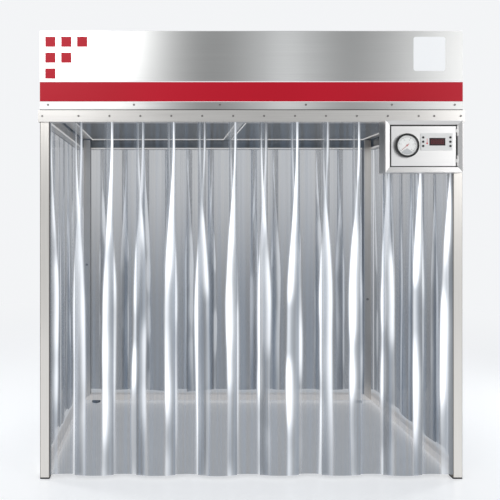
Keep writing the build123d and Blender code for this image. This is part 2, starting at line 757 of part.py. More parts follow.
def box_bracket():
    """A joggled plate: a foot on the post's face and a plate behind the box."""
    mid = (BOX_TOP + BOX_BOTTOM) / 2
    z = (mid - BRACKET_HIGH / 2, mid + BRACKET_HIGH / 2)
    t = BRACKET_SHEET
    web = BOX_RIGHT
    plate = block(web - BRACKET_REACH, web, BOX_BACK, BOX_BACK + t, *z)
    plate += block(web, web + t, BOX_BACK, FRONT_Y, *z)
    plate += block(web, HALF - POST_ROUND, FRONT_Y - t, FRONT_Y, *z)
    for x, height in bracket_screws():
        plate -= disc(x, height, SCREW_R + HOLE_GAP, FRONT_Y - t - 1, FRONT_Y + 1)
    return plate


def instrument_box():
    """The box: a folded shell with a sloping mitred frame round the door opening."""
    s = BOX_SHEET
    inner = SEAL_BACK
    shell = block(BOX_LEFT, BOX_RIGHT, BOX_FRONT, BOX_BACK, BOX_BOTTOM, BOX_TOP)
    hollow_front = BOX_FRONT + FRAME_SLOPE + FRAME_THICK
    shell -= block(
        BOX_LEFT + s, BOX_RIGHT - s, hollow_front, BOX_BACK - s, BOX_BOTTOM + s, BOX_TOP - s
    )
    shell -= block(OPEN_LEFT, OPEN_RIGHT, BOX_FRONT - 1, hollow_front + 1, OPEN_BOTTOM, OPEN_TOP)
    x0, x1 = BOX_LEFT + FRAME_RIM, BOX_RIGHT - FRAME_RIM
    z0, z1 = BOX_BOTTOM + FRAME_RIM, BOX_TOP - FRAME_RIM
    wide = rectangle_xz(x0, x1, z0, z1, BOX_FRONT)
    narrow = rectangle_xz(OPEN_LEFT, OPEN_RIGHT, OPEN_BOTTOM, OPEN_TOP, BOX_FRONT + FRAME_SLOPE)
    shell -= loft([wide, narrow], ruled=True)
    ledge = block(OPEN_LEFT - s, OPEN_RIGHT + s, hollow_front, inner + s, OPEN_BOTTOM - s, OPEN_TOP + s)
    ledge -= block(OPEN_LEFT, OPEN_RIGHT, hollow_front - 1, inner, OPEN_BOTTOM, OPEN_TOP)
    w = SEAL_WIDE
    ledge -= block(OPEN_LEFT + w, OPEN_RIGHT - w, inner - 1, inner + s + 1, OPEN_BOTTOM + w, OPEN_TOP - w)
    return shell + ledge


def rectangle_xz(x0, x1, z0, z1, y):
    corners = [(x0, y, z0), (x1, y, z0), (x1, y, z1), (x0, y, z1)]
    return make_face(Polyline(*corners, close=True))


def door_seal():
    """The black rubber seal that shows as a line round the door."""
    w = SEAL_WIDE - 1
    g = HOLE_GAP
    x0, x1, z0, z1 = OPEN_LEFT + g, OPEN_RIGHT - g, OPEN_BOTTOM + g, OPEN_TOP - g
    seal = block(x0, x1, SEAL_FRONT, SEAL_BACK, z0, z1)
    return seal - block(x0 + w, x1 - w, SEAL_FRONT - 1, SEAL_BACK + 1, z0 + w, z1 - w)


def instrument_door():
    """The door: a shallow folded pan, cut out for the gauge and the controller."""
    s = DOOR_SHEET
    y1 = DOOR_Y + DOOR_RIM
    door = block(DOOR_LEFT, DOOR_RIGHT, DOOR_Y, y1, DOOR_BOTTOM, DOOR_TOP)
    door -= block(
        DOOR_LEFT + s, DOOR_RIGHT - s, DOOR_Y + s, y1 + 1, DOOR_BOTTOM + s, DOOR_TOP - s
    )
    door -= disc(*GAUGE, CASE_R + HOLE_GAP, DOOR_Y - 1, DOOR_Y + s + 1)
    x, z = CONTROLLER
    a, b = controller_body_half()
    g = HOLE_GAP
    door -= block(x - a - g, x + a + g, DOOR_Y - 1, DOOR_Y + s + 1, z - b - g, z + b + g)
    return door


def controller_body_half():
    return CONTROLLER_WIDE / 2 - BODY_SHRINK / 2, CONTROLLER_HIGH / 2 - BODY_SHRINK / 2


def hinge_levels():
    """Bottom and top of each hinge."""
    low = OPEN_BOTTOM + HINGE_END
    high = OPEN_TOP - HINGE_END
    return ((low, low + HINGE_HIGH), (high - HINGE_HIGH, high))


def knuckles(z0, z1):
    """The three knuckles of a hinge, with a running gap between them."""
    third = (z1 - z0) / 3
    g = SEAL_GAP / 2
    return (
        (z0, z0 + third - g),
        (z0 + third + g, z1 - third - g),
        (z1 - third + g, z1),
    )


def hinge_leaves():
    """Box side of each hinge: two knuckles on a leaf, with the pin through them."""
    made = []
    for z0, z1 in hinge_levels():
        low, middle, high = knuckles(z0, z1)
        leaf = column(HINGE_X, HINGE_Y, PIN_R, z0, z1)
        for a, b in (low, high):
            leaf += column(HINGE_X, HINGE_Y, BARREL_R, a, b)
            leaf += block(OPEN_RIGHT - LEAF, OPEN_RIGHT, HINGE_Y, HINGE_Y + LEAF_DEEP, a, b)
        y = BOX_FRONT + FRAME_SLOPE
        leaf += block(OPEN_RIGHT - LEAF, OPEN_RIGHT, y, HINGE_Y + LEAF_DEEP, z0, z1)
        made.append(leaf)
    return made


def hinge_knuckles():
    """Door side of each hinge: the middle knuckle on a leaf on the door's edge."""
    made = []
    for z0, z1 in hinge_levels():
        a, b = knuckles(z0, z1)[1]
        knuckle = column(HINGE_X, HINGE_Y, BARREL_R, a, b)
        knuckle += block(DOOR_RIGHT, HINGE_X, HINGE_Y, HINGE_Y + LEAF, a, b)
        knuckle += block(DOOR_RIGHT, DOOR_RIGHT + LEAF, HINGE_Y, DOOR_Y + DOOR_RIM, a, b)
        knuckle -= column(HINGE_X, HINGE_Y, PIN_R + RUN_GAP, a - 1, b + 1)
        made.append(knuckle)
    return made


BEZEL_FRONT = DOOR_Y - BEZEL_PROUD
DIAL_SEAT = BEZEL_FRONT + DIAL_DROP
DIAL_FRONT = DIAL_SEAT - DIAL_THICK
NEEDLE_BACK = DIAL_FRONT - NEEDLE_GAP


def gauge_case():
    """The round case, its bezel in front of the door and its body behind it."""
    case = disc(*GAUGE, BEZEL_R, BEZEL_FRONT, DOOR_Y)
    rim = case.edges().group_by(Axis.Y)[0]
    case = chamfer(rim, LENS_DROP * 2)
    case += disc(*GAUGE, CASE_R, DOOR_Y, DOOR_Y + CASE_DEEP)
    case -= disc(*GAUGE, DIAL_R, BEZEL_FRONT - 1, DIAL_SEAT)
    bore = DIAL_SEAT + NEEDLE_PIN_LONG
    return case - disc(*GAUGE, NEEDLE_PIN_R + RUN_GAP, BEZEL_FRONT, bore)


def gauge_dial():
    dial = disc(*GAUGE, DIAL_R - HOLE_GAP, DIAL_FRONT, DIAL_SEAT)
    return dial - disc(*GAUGE, NEEDLE_PIN_R + RUN_GAP, DIAL_FRONT - 1, DIAL_SEAT + 1)


def gauge_lens():
    front = BEZEL_FRONT + LENS_DROP
    return disc(*GAUGE, DIAL_R - HOLE_GAP, front, front + LENS_THICK)


def gauge_needle():
    """A tapered pointer on its pin, at rest on zero at the lower left."""
    front = NEEDLE_BACK - NEEDLE_THICK
    w = NEEDLE_WIDE / 2
    outline = [(-NEEDLE_TAIL, -w), (0, -w), (NEEDLE_LONG, -w / 4), (NEEDLE_LONG, w / 4), (0, w)]
    outline.append((-NEEDLE_TAIL, w))
    blade = extrude(make_face(Polyline(*outline, close=True)), NEEDLE_THICK)
    blade = Rot(90, 0, 0) * Rot(0, 0, NEEDLE_ZERO) * blade
    needle = Pos(GAUGE[0], NEEDLE_BACK, GAUGE[1]) * blade
    needle += disc(*GAUGE, NEEDLE_HUB_R, front, NEEDLE_BACK)
    return needle + disc(*GAUGE, NEEDLE_PIN_R, NEEDLE_BACK, DIAL_SEAT + NEEDLE_PIN_LONG - 1)


def button_places():
    x, z = CONTROLLER
    return [
        (x + side * BUTTON_X, z + row * BUTTON_PITCH)
        for side in (-1, 1)
        for row in (1, 0, -1)
    ]


def controller_case():
    """Face plate and body of the controller, bored for the window and the buttons."""
    x, z = CONTROLLER
    a, b = controller_body_half()
    face = DOOR_Y - PLATE_THICK
    w, h = CONTROLLER_WIDE / 2, CONTROLLER_HIGH / 2
    plate = block(x - w, x + w, face, DOOR_Y, z - h, z + h)
    plate = fillet(plate.edges().filter_by(Axis.Y), PLATE_THICK)
    case = plate + block(x - a, x + a, DOOR_Y, DOOR_Y + BODY_DEEP, z - b, z + b)
    for bx, bz in button_places():
        back = face + BUTTON_LONG - BUTTON_PROUD + BUTTON_TRAVEL + BUTTON_FLOOR
        case -= disc(bx, bz, BUTTON_R + RUN_GAP, face - 1, back)
    ww, wh = WINDOW_WIDE / 2, WINDOW_HIGH / 2
    seat = face + WINDOW_THICK - WINDOW_PROUD
    return case - block(x + WINDOW_X - ww, x + WINDOW_X + ww, face - 1, seat, z - wh, z + wh)


def display_window():
    x, z = CONTROLLER[0] + WINDOW_X, CONTROLLER[1]
    face = DOOR_Y - PLATE_THICK - WINDOW_PROUD
    w, h = WINDOW_WIDE / 2 - HOLE_GAP, WINDOW_HIGH / 2 - HOLE_GAP
    return block(x - w, x + w, face, face + WINDOW_THICK, z - h, z + h)


def button(x, z):
    front = DOOR_Y - PLATE_THICK - BUTTON_PROUD
    cap = disc(x, z, BUTTON_R, front, front + BUTTON_LONG)
    return chamfer(cap.edges().group_by(Axis.Y)[0], BUTTON_R / 10)


os.makedirs("parts", exist_ok=True)

write("front_left_post", front_post(-1))
write("front_right_post", front_post(1))
write("rear_left_post", rear_post(-1))
write("rear_right_post", rear_post(1))
write("rear_lower_rail", rear_lower_rail())
write("left_lower_rail", side_lower_rail(-1))
write("right_lower_rail", side_lower_rail(1))
write("front_post_pads", *post_pads())
write("rear_feet", *rear_feet())
write("frame_bolts", *frame_bolts())

inner = HALF - POST
hang = (HANG_BOTTOM, HANG_TOP)
side_y = (FRONT_Y + POST, REAR_Y - HANG_DEEP)
front_rail = tube_x(-inner, inner, FRONT_Y, FRONT_Y + HANG_DEEP, *hang)
rear_rail = tube_x(-HALF, HALF, REAR_Y - HANG_DEEP, REAR_Y, *hang)
left_rail = tube_y(-HALF, -HALF + HANG_DEEP, *side_y, *hang)
right_rail = tube_y(HALF - HANG_DEEP, HALF, *side_y, *hang)
write("front_hanging_rail", drilled("front", front_rail))
write("rear_hanging_rail", drilled("rear", rear_rail))
write("left_hanging_rail", drilled("left", left_rail))
write("right_hanging_rail", drilled("right", right_rail))

for side in WALLS:
    write(f"{side}_strips", *curtain(side))
    write(f"{side}_clamp_bar", clamp_bar(side))
    write(f"header_{side}_panel", header_panel(side))
write("panel_screws", *panel_screws())

write("header_gasket", header_gasket())
write("header_roof", header_roof())
write("filter_tray", filter_tray())
write("left_filter", hepa_filter(-1))
write("right_filter", hepa_filter(1))
write("left_diffuser", diffuser(-1))
write("right_diffuser", diffuser(1))
write("fan_deck", fan_deck())
write("left_impeller", impeller(-FAN_X))
write("right_impeller", impeller(FAN_X))
write("fan_motors", fan_motor(-FAN_X), fan_motor(FAN_X))
write("fan_straps", fan_strap(-FAN_X), fan_strap(FAN_X))
write("prefilters", *prefilters())
write("fascia_stripes", *fascia_stripes())
write("label_plate", label_plate())

write("box_bracket", box_bracket())
write("instrument_box", instrument_box())
write("door_seal", door_seal())
write("hinge_leaves", *hinge_leaves())
write("instrument_door", instrument_door())
write("hinge_knuckles", *hinge_knuckles())
write("gauge_case", gauge_case())
write("gauge_dial", gauge_dial())
write("gauge_lens", gauge_lens())
write("gauge_needle", gauge_needle())
write("controller_case", controller_case())
write("display_window", display_window())
for i, (x, z) in enumerate(button_places()):
    write(f"button_{i + 1}", button(x, z))
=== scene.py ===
import bpy
import math
from mathutils import Euler, Matrix, Vector


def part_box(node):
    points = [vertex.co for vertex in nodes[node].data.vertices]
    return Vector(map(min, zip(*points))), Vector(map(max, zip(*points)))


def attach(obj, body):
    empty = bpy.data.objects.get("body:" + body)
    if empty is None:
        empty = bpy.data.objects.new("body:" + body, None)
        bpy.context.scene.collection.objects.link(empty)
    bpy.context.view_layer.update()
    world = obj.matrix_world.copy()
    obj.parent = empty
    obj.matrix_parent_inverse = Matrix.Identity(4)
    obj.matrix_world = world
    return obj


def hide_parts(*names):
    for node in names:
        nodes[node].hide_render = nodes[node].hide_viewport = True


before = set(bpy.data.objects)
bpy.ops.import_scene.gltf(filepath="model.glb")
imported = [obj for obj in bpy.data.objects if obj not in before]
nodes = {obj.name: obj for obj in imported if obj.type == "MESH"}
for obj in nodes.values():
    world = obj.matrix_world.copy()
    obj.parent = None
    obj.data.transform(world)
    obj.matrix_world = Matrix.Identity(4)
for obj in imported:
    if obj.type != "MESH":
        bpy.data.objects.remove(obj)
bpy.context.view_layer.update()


# Camera: a person's eye before the left third of the booth, looking straight in.
# The booth's front stays square to the picture, and the lens is shifted sideways onto it.
front_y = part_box("front_left_post")[0][1]
standing_off = 3.0
eye_height = 1.366
eye_from_middle = -0.432
eye = bpy.data.cameras.new("eye")
eye.lens = 41.9
eye.sensor_width = 36
eye.shift_x = 0.165
eye.shift_y = -0.072
camera = bpy.data.objects.new("eye", eye)
camera.location = (eye_from_middle, front_y - standing_off, eye_height)
camera.rotation_euler = (math.radians(90), 0, 0)
bpy.context.scene.collection.objects.link(camera)
bpy.context.scene.camera = camera


# Posts: four lengths of square stainless tube, brushed along their length. They carry the
# header. Their faces that look sideways are painted dark beside the bright front face, a painted
# reflection of the dark surroundings.
def finish(name, colour, roughness, metallic=0.0, coat=0.0):
    """A new material with the values that are the same all over it."""
    material = bpy.data.materials.new(name)
    material.use_nodes = True
    tree = material.node_tree
    shader = tree.nodes["Principled BSDF"]
    shader.inputs["Base Color"].default_value = (*colour, 1)
    shader.inputs["Roughness"].default_value = roughness
    shader.inputs["Metallic"].default_value = metallic
    shader.inputs["Coat Weight"].default_value = coat
    return material, tree, shader


def feed(tree, socket, value):
    """Gives a socket a plain value or what another node puts out."""
    if isinstance(value, bpy.types.NodeSocket):
        tree.links.new(value, socket)
    else:
        socket.default_value = value


def calc(tree, kind, first, *others):
    """Math nodes in a row: the first value with each of the others in turn."""
    for value in others or (0.0,):
        node = tree.nodes.new("ShaderNodeMath")
        node.operation = kind
        feed(tree, node.inputs[0], first)
        feed(tree, node.inputs[1], value)
        first = node.outputs[0]
    return first


def remap(tree, value, start, end, low, high, smooth=False):
    """Gives low where the value is start, high where it is end, and what lies between."""
    node = tree.nodes.new("ShaderNodeMapRange")
    node.interpolation_type = "SMOOTHSTEP" if smooth else "LINEAR"
    tree.links.new(value, node.inputs["Value"])
    node.inputs["From Min"].default_value = start
    node.inputs["From Max"].default_value = end
    node.inputs["To Min"].default_value = low
    node.inputs["To Max"].default_value = high
    return node.outputs["Result"]


def blend_colours(tree, share, first, second, kind="MIX"):
    """Two colours, each plain or from another node, blended by a share or multiplied."""
    node = tree.nodes.new("ShaderNodeMix")
    node.data_type = "RGBA"
    node.blend_type = kind
    feed(tree, node.inputs["Factor"], share)
    colours = [socket for socket in node.inputs if socket.type == "RGBA"]
    for socket, value in zip(colours, (first, second)):
        feed(tree, socket, value if isinstance(value, bpy.types.NodeSocket) else (*value, 1))
    return [socket for socket in node.outputs if socket.type == "RGBA"][0]


def noise(tree, place, scale, detail):
    node = tree.nodes.new("ShaderNodeTexNoise")
    node.inputs["Scale"].default_value = scale
    feed(tree, node.inputs["Detail"], detail)
    tree.links.new(place, node.inputs["Vector"])
    return node.outputs["Fac"]


def stretched(tree, place, scale):
    """Coordinates scaled apart, so that a texture runs along one direction."""
    mapping = tree.nodes.new("ShaderNodeMapping")
    feed(tree, mapping.inputs["Scale"], scale)
    tree.links.new(place, mapping.inputs["Vector"])
    return mapping.outputs["Vector"]


def own_place(tree):
    return tree.nodes.new("ShaderNodeTexCoord").outputs["Object"]


def new_effect(name, inputs, outputs):
    """A node group for an effect, with named sockets."""
    group = bpy.data.node_groups.new(name, "ShaderNodeTree")
    for socket, kind in inputs.items():
        group.interface.new_socket(socket, in_out="INPUT", socket_type=f"NodeSocket{kind}")
    for socket in outputs:
        group.interface.new_socket(socket, in_out="OUTPUT", socket_type="NodeSocketFloat")
    taken_in = group.nodes.new("NodeGroupInput").outputs
    put_out = group.nodes.new("NodeGroupOutput").inputs
    return group, taken_in, put_out


def add_effect(tree, group, **values):
    """Places an effect's group in a material and returns what it puts out."""
    node = tree.nodes.new("ShaderNodeGroup")
    node.node_tree = group
    for name, value in values.items():
        feed(tree, node.inputs[name], value)
    return node.outputs


# The grain of brushed metal: fine streaks along it, and slow cloudy changes of tone.
cloud_size = 1.6
brushed_grain, taken_in, put_out = new_effect(
    "brushed grain", {"Place": "Vector", "Grain": "Vector", "Detail": "Float"}, ("Fine", "Tone"))
along = stretched(brushed_grain, taken_in["Place"], taken_in["Grain"])
fine = noise(brushed_grain, along, 1.0, taken_in["Detail"])
clouds = stretched(brushed_grain, taken_in["Place"], (cloud_size, cloud_size, cloud_size))
cloudy = noise(brushed_grain, clouds, 1.0, 2.0)
tone = calc(brushed_grain, "MULTIPLY", calc(brushed_grain, "ADD", fine, cloudy), 0.5)
brushed_grain.links.new(fine, put_out["Fine"])
brushed_grain.links.new(tone, put_out["Tone"])


def relief(tree, shader, height, depth, strength):
    node = tree.nodes.new("ShaderNodeBump")
    node.inputs["Strength"].default_value = strength
    node.inputs["Distance"].default_value = depth
    tree.links.new(height, node.inputs["Height"])
    tree.links.new(node.outputs["Normal"], shader.inputs["Normal"])


def brushed(name, dark, light, grain, roughness=0.3):
    """Brushed metal, whose grain runs along the direction with the smallest scale."""
    material, tree, shader = finish(name, light, roughness, 1.0)
    streaks = add_effect(tree, brushed_grain, Place=own_place(tree), Grain=grain, Detail=4.0)
    tree.links.new(blend_colours(tree, streaks["Tone"], dark, light), shader.inputs["Base Color"])
    gloss = remap(tree, streaks["Fine"], 0, 1, roughness - 0.06, roughness + 0.1)
    tree.links.new(gloss, shader.inputs["Roughness"])
    relief(tree, shader, streaks["Fine"], 0.0001, 0.25)
    return material


def dress(material, *names):
    """Gives a material to CAD nodes."""
    for name in names:
        for slot in nodes[name].material_slots:
            slot.material = material


upright = brushed("upright stainless", (0.62, 0.59, 0.55), (0.90, 0.87, 0.83), (500, 500, 3))
tree = upright.node_tree
post_colour = tree.nodes["Principled BSDF"].inputs["Base Color"]
face_colour = post_colour.links[0].from_socket
# Painted reflection: faces that look sideways are blended to a dark brown-grey.
facing = tree.nodes.new("ShaderNodeSeparateXYZ")
tree.links.new(tree.nodes.new("ShaderNodeTexCoord").outputs["Normal"], facing.inputs[0])
painted_side_reflection = remap(tree, calc(tree, "ABSOLUTE", facing.outputs["X"]), 0.12, 0.6, 0.0, 1.0)
tree.links.new(blend_colours(tree, painted_side_reflection, face_colour, (0.11, 0.095, 0.08)), post_colour)
dress(upright, "front_left_post", "front_right_post", "rear_left_post", "rear_right_post")


# Lower rails: square stainless tube with a satin finish, bolted between the posts
# along the rear and both sides. The rails glow a little, a painted glow that no lamp gives, which makes
# them look brighter.
glowing_satin, tree, shader = finish("satin rail", (0.93, 0.90, 0.86), 0.4, 0.2)
streaks = add_effect(tree, brushed_grain, Place=own_place(tree), Grain=(3, 3, 400), Detail=3.0)
satin_colour = blend_colours(tree, streaks["Fine"], (0.84, 0.80, 0.76), (0.96, 0.93, 0.90))
tree.links.new(satin_colour, shader.inputs["Base Color"])
# Painted glow: the rails give off light of their own so that they look bright.
shader.inputs["Emission Color"].default_value = (1.0, 0.95, 0.90, 1)
shader.inputs["Emission Strength"].default_value = 0.4
dress(glowing_satin, "rear_lower_rail", "left_lower_rail", "right_lower_rail")


# Hanging rails, clamp bars and filter tray: brushed stainless, with the grain along each
# length. The rails join the posts' tops, and the bars are screwed over the strips.
across = brushed("crosswise stainless", (0.50, 0.48, 0.46), (0.86, 0.84, 0.81), (3, 500, 500))
deepwise = brushed("depthwise stainless", (0.36, 0.33, 0.30), (0.72, 0.69, 0.65), (500, 3, 500))
# The rear hanging rail gets a much darker copy of the brushed stainless: painted shade for its face in the
# booth's shadow.
painted_shade_steel = brushed("shaded stainless", (0.16, 0.17, 0.18), (0.34, 0.36, 0.38), (3, 500, 500))
dress(across, "front_hanging_rail", "front_clamp_bar", "rear_clamp_bar", "filter_tray")
dress(deepwise, "left_hanging_rail", "right_hanging_rail", "left_clamp_bar", "right_clamp_bar")
dress(painted_shade_steel, "rear_hanging_rail")


# Pads, feet and seals: moulded black rubber, pressed into the posts' ends, laid under the
# header and glued round the opening of the instrument box.
speckle_effect, taken_in, put_out = new_effect(
    "speckle", {"Place": "Vector", "Grain": "Vector"}, ("Speck",))
fine_place = stretched(speckle_effect, taken_in["Place"], taken_in["Grain"])
speckle_effect.links.new(noise(speckle_effect, fine_place, 1.0, 2.0), put_out["Speck"])


def speckle(tree, grain):
    return add_effect(tree, speckle_effect, Place=own_place(tree), Grain=grain)["Speck"]


def matted(name, colour, rough, grain, metallic=0.0, coat=0.0, depth=0.0):
    """One colour, with a gloss that varies in a speckle between two roughnesses."""
    material, tree, shader = finish(name, colour, rough[0], metallic, coat)
    speck = speckle(tree, (grain, grain, grain))
    tree.links.new(remap(tree, speck, 0, 1, *rough), shader.inputs["Roughness"])
    if depth:
        relief(tree, shader, speck, depth, 0.3)
    return material


rubber = matted("black rubber", (0.022, 0.022, 0.022), (0.55, 0.75), 300, depth=0.0002)
dress(rubber, "header_gasket", "front_post_pads", "rear_feet", "door_seal")


# Header casing: folded stainless panels, brushed crosswise, screwed to the tray at their
# lower edge. The front and rear carry soft broad bands of light and dark along their length, painted
# reflections of the brushed steel put into its colour.
casing, tree, shader = finish("header stainless", (0.8, 0.8, 0.8), 0.3, 1.0)
header_low, header_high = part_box("header_front_panel")
spot = tree.nodes.new("ShaderNodeSeparateXYZ")
tree.links.new(own_place(tree), spot.inputs[0])
# Painted reflections: a ramp of light and dark bands along the header's length.
reflection_bands = tree.nodes.new("ShaderNodeValToRGB")
reflection_bands.color_ramp.interpolation = "B_SPLINE"
from_left = remap(tree, spot.outputs["X"], header_low[0], header_high[0], 0.0, 1.0)
tree.links.new(from_left, reflection_bands.inputs["Fac"])
reflection_tones = [
    (0.0, 0.70), (0.12, 0.80), (0.19, 1.0), (0.26, 0.85), (0.36, 0.38), (0.45, 0.44), (0.53, 0.8),
    (0.58, 1.0), (0.63, 0.85), (0.71, 0.48), (0.78, 0.5), (0.88, 0.66), (1.0, 0.62),
]
while len(reflection_bands.color_ramp.elements) < len(reflection_tones):
    reflection_bands.color_ramp.elements.new(0.5)
for stop, (place, tone) in zip(reflection_bands.color_ramp.elements, reflection_tones):
    stop.position = place
    stop.color = (tone, tone, tone * 0.985, 1)
streaks = add_effect(tree, brushed_grain, Place=own_place(tree), Grain=(2, 400, 600), Detail=4.0)
streak_colour = blend_colours(tree, streaks["Fine"], (0.86, 0.86, 0.86), (1.0, 1.0, 1.0))
casing_colour = blend_colours(tree, 1.0, reflection_bands.outputs["Color"], streak_colour, "MULTIPLY")
tree.links.new(casing_colour, shader.inputs["Base Color"])
tree.links.new(remap(tree, streaks["Fine"], 0, 1, 0.26, 0.4), shader.inputs["Roughness"])
relief(tree, shader, streaks["Fine"], 0.0001, 0.2)
dress(casing, "header_front_panel", "header_rear_panel")
ends = brushed("side stainless", (0.5, 0.5, 0.49), (0.85, 0.85, 0.84), (500, 3, 500))
dress(ends, "header_left_panel", "header_right_panel", "header_roof")


# Red band and squares, and the blank plate: gloss film stuck on the header's front. The band
# has thin white edge lines above and below it.
def make_piece(name, points, faces, material, body, smooth=False):
    """A new mesh that moves with a body."""
    mesh = bpy.data.meshes.new(name)
    mesh.from_pydata([tuple(point) for point in points], [], faces)
    mesh.update()
    mesh.materials.append(material)
    if smooth:
        mesh.polygons.foreach_set("use_smooth", [True] * len(mesh.polygons))
    made = bpy.data.objects.new(name, mesh)
    bpy.context.scene.collection.objects.link(made)
    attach(made, body)
    return made


def add_bar(points, faces, low, high):
    """Adds a straight bar between two opposite corners."""
    first = len(points)
    for x in (low[0], high[0]):
        for y in (low[1], high[1]):
            for z in (low[2], high[2]):
                points.append((x, y, z))
    for side in ((0, 1, 3, 2), (4, 6, 7, 5), (0, 4, 5, 1), (2, 3, 7, 6), (0, 2, 6, 4), (1, 5, 7, 3)):
        faces.append(tuple(first + corner for corner in side))


red, tree, shader = finish("red film", (0.46, 0.0, 0.012), 0.4)
shader.inputs["Specular IOR Level"].default_value = 0.25
red_tone = blend_colours(tree, speckle(tree, (1.5, 1, 1)), (0.40, 0.0, 0.010), (0.52, 0.002, 0.02))
tree.links.new(red_tone, shader.inputs["Base Color"])
dress(red, "fascia_stripes")
white = matted("white film", (0.9, 0.91, 0.92), (0.3, 0.42), 8, coat=0.2)
dress(white, "label_plate")
edge_line = 0.004
film_depth = 0.0004
band_low, band_high = 1.946, 2.046
film_low, film_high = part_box("fascia_stripes")
points, faces = [], []
for low_z in (band_low - edge_line, band_high):
    corner = (film_low[0], front_y - film_depth, low_z)
    add_bar(points, faces, corner, (film_high[0], front_y, low_z + edge_line))
make_piece("band_edges", points, faces, white, "booth")


# Screws and bolts: plated steel pan heads in rows along the panels' edges and the clamp bars.
# Each head's cross recess is drawn as a thin black cross on the head, a painted shade for the hollow.
plated = matted("plated steel", (0.30, 0.29, 0.28), (0.3, 0.45), 400, metallic=1.0)
dress(plated, "panel_screws", "frame_bolts")
# Painted shade: a near-black cross stands for the shade in each recess.
recess_shade = matted("screw recess", (0.01, 0.01, 0.01), (0.7, 0.9), 400)
recess_reach = 0.003
recess_half_width = 0.0006
recess_stand = 0.00015


def separate_screws(mesh):
    """The corner points of each screw in a mesh that holds many."""
    owner = list(range(len(mesh.vertices)))

    def first_of(i):
        while owner[i] != i:
            owner[i] = owner[owner[i]]
            i = owner[i]
        return i

    spots = {}
    for vertex in mesh.vertices:
        spots.setdefault(tuple(round(c * 2e5) for c in vertex.co), []).append(vertex.index)
    for same in spots.values():
        for i in same[1:]:
            owner[first_of(i)] = first_of(same[0])
    for edge in mesh.edges:
        owner[first_of(edge.vertices[0])] = first_of(edge.vertices[1])
    screws = {}
    for vertex in mesh.vertices:
        screws.setdefault(first_of(vertex.index), []).append(vertex.co)
    return screws.values()


points, faces = [], []
for screw in separate_screws(nodes["panel_screws"].data):
    low = Vector([min(point[k] for point in screw) for k in range(3)])
    high = Vector([max(point[k] for point in screw) for k in range(3)])
    middle = (low + high) / 2
    axis = 1 if high[1] - low[1] > high[0] - low[0] else 0
    other = 1 - axis
    head = low[axis] if middle[axis] < 0 else high[axis]
    for wide, tall in ((recess_reach, recess_half_width), (recess_half_width, recess_reach)):
        near, far = Vector(middle), Vector(middle)
        near[axis], far[axis] = head - recess_stand, head + recess_stand
        near[other], far[other] = middle[other] - wide, middle[other] + wide
        near[2], far[2] = middle[2] - tall, middle[2] + tall
        add_bar(points, faces, near, far)
make_piece("screw_recesses", points, faces, recess_shade, "booth")


# Diffusers: perforated grey sheets that hang in the ceiling under the filters, each in a
# folded lip. The rear and side hanging rails have a like strip along their lower edge, put there to show a
# bright line, a painted highlight. All the lips glow a little, a painted glow that no lamp gives.
hole_pitch = 1 / 90
grey, tree, shader = finish("grey diffuser", (0.12, 0.12, 0.13), 0.45, 0.3)
holes = tree.nodes.new("ShaderNodeTexVoronoi")
holes.inputs["Randomness"].default_value = 0.0
holes.inputs["Scale"].default_value = 1.0
hole_grid = stretched(tree, own_place(tree), (1 / hole_pitch, 1 / hole_pitch, 1 / hole_pitch))
tree.links.new(hole_grid, holes.inputs["Vector"])
sheet = remap(tree, holes.outputs["Distance"], 0.24, 0.3, 0.0, 1.0)
sheet_colour = blend_colours(tree, sheet, (0.01, 0.01, 0.011), (0.12, 0.125, 0.13))
tree.links.new(sheet_colour, shader.inputs["Base Color"])
dress(grey, "left_diffuser", "right_diffuser")

glowing_lip = matted("lip stainless", (0.9, 0.89, 0.87), (0.34, 0.44), 60, metallic=0.3)
shader = glowing_lip.node_tree.nodes["Principled BSDF"]
# Painted glow: the lips give off light of their own so that they look bright.
shader.inputs["Emission Color"].default_value = (1.0, 0.96, 0.92, 1)
shader.inputs["Emission Strength"].default_value = 0.4
lip_thick = 0.002
lip_drop = 0.008
lip_inset = 0.006
rail_lip_high = 0.01
points, faces = [], []
for name in ("left_diffuser", "right_diffuser"):
    low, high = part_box(name)
    x0, x1 = low[0] + lip_inset, high[0] - lip_inset
    y0, y1 = low[1] + lip_inset, high[1] - lip_inset
    z0, z1 = low[2] - lip_drop, low[2] + lip_thick
    add_bar(points, faces, (x0, y0, z0), (x1, y0 + lip_thick, z1))
    add_bar(points, faces, (x0, y1 - lip_thick, z0), (x1, y1, z1))
    add_bar(points, faces, (x0, y0 + lip_thick, z0), (x0 + lip_thick, y1 - lip_thick, z1))
    add_bar(points, faces, (x1 - lip_thick, y0 + lip_thick, z0), (x1, y1 - lip_thick, z1))
post_wide = 0.05
low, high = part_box("rear_hanging_rail")
corner = (low[0] + post_wide, low[1] - lip_thick, low[2])
add_bar(points, faces, corner, (high[0] - post_wide, low[1], low[2] + rail_lip_high))
for name in ("left_hanging_rail", "right_hanging_rail"):
    low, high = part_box(name)
    x = high[0] if name == "left_hanging_rail" else low[0] - lip_thick
    far_corner = (x + lip_thick, high[1] - rail_lip_high, low[2] + rail_lip_high)
    add_bar(points, faces, (x, low[1], low[2]), far_corner)
make_piece("folded_lips", points, faces, glowing_lip, "booth")


# Filters: pleated packs of pale fibre in their frames. The final ones sit on the tray over the
# diffusers, and the prefilters lie in the roof's openings.
def mottled(name, dark, light, grain, roughness, coat=0.0, depth=0.0):
    """A colour that varies a little in a fine speckle."""
    material, tree, shader = finish(name, light, roughness, 0.0, coat)
    speck = speckle(tree, (grain, grain, grain))
    tree.links.new(blend_colours(tree, speck, dark, light), shader.inputs["Base Color"])
    if depth:
        relief(tree, shader, speck, depth, 0.4)
    return material


media = mottled("filter media", (0.75, 0.76, 0.75), (0.92, 0.93, 0.92), 200, 0.85, depth=0.0004)
dress(media, "left_filter", "right_filter", "prefilters")


